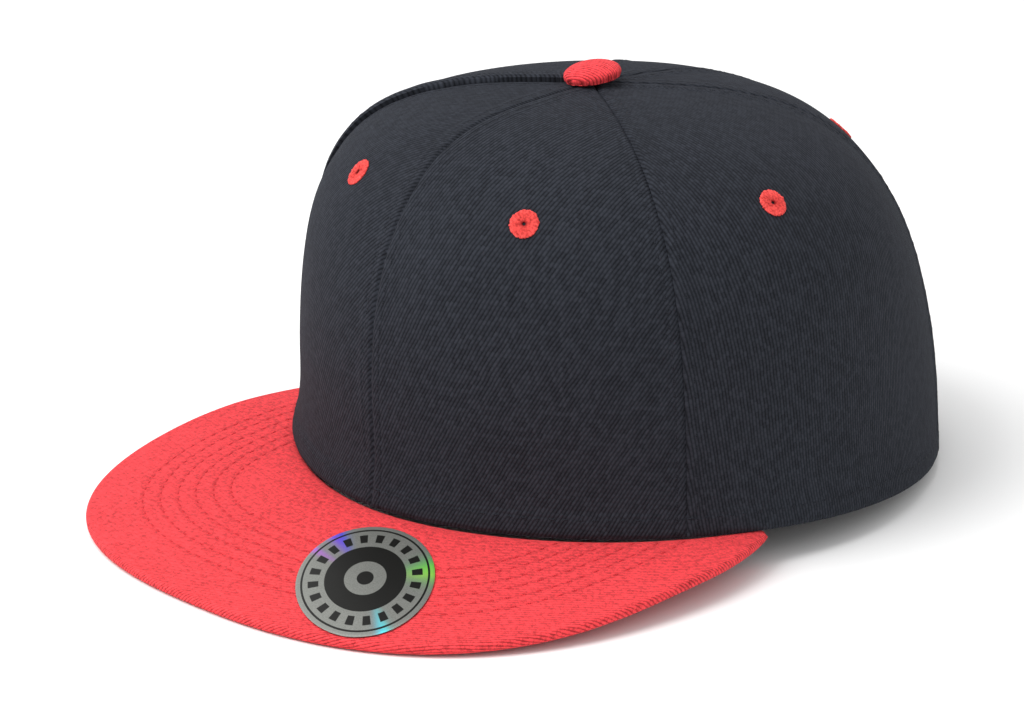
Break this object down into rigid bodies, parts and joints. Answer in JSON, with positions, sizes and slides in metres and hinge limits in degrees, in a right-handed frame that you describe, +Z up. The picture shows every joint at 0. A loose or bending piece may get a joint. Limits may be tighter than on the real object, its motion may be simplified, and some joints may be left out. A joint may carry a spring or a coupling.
{
  "type": "snapback cap",
  "caption": "Flat-peaked snapback cap: a dark crown of sewn panels, a stiff red peak, a top button, eyelets, an inner band and a snapped plastic strap at the back.",
  "frame": {"origin": "middle of the cap's footprint box, on the surface that it rests on", "axes": "+Z up, -Y out along the peak from the middle of the front, +X towards the wearer's left"},
  "size_m": [0.1934, 0.2664, 0.1229],
  "materials": {
    "crown_twill": "dry woven twill, near-black navy",
    "peak_twill": "dry woven twill, coral red",
    "button_twill": "twill stretched over a dome, coral red",
    "eyelet_thread": "embroidery thread with a soft shine, coral red",
    "band_cotton": "plain cotton, near-black",
    "strap_plastic": "moulded, satin, near-black",
    "sticker_foil": "thin rainbow foil under clear film"
  },
  "bodies": {
    "root": {"panel_front_left": "crown_twill", "panel_front_right": "crown_twill", "panel_side_left": "crown_twill", "panel_side_right": "crown_twill", "panel_back_left": "crown_twill", "panel_back_right": "crown_twill", "peak": "peak_twill", "top_button": "button_twill", "eyelet_front_left": "eyelet_thread", "eyelet_front_right": "eyelet_thread", "eyelet_side_left": "eyelet_thread", "eyelet_side_right": "eyelet_thread", "eyelet_back_left": "eyelet_thread", "eyelet_back_right": "eyelet_thread", "sweatband": "band_cotton", "snap_strap": "strap_plastic", "peak_sticker": "sticker_foil"}
  },
  "joints": []
}
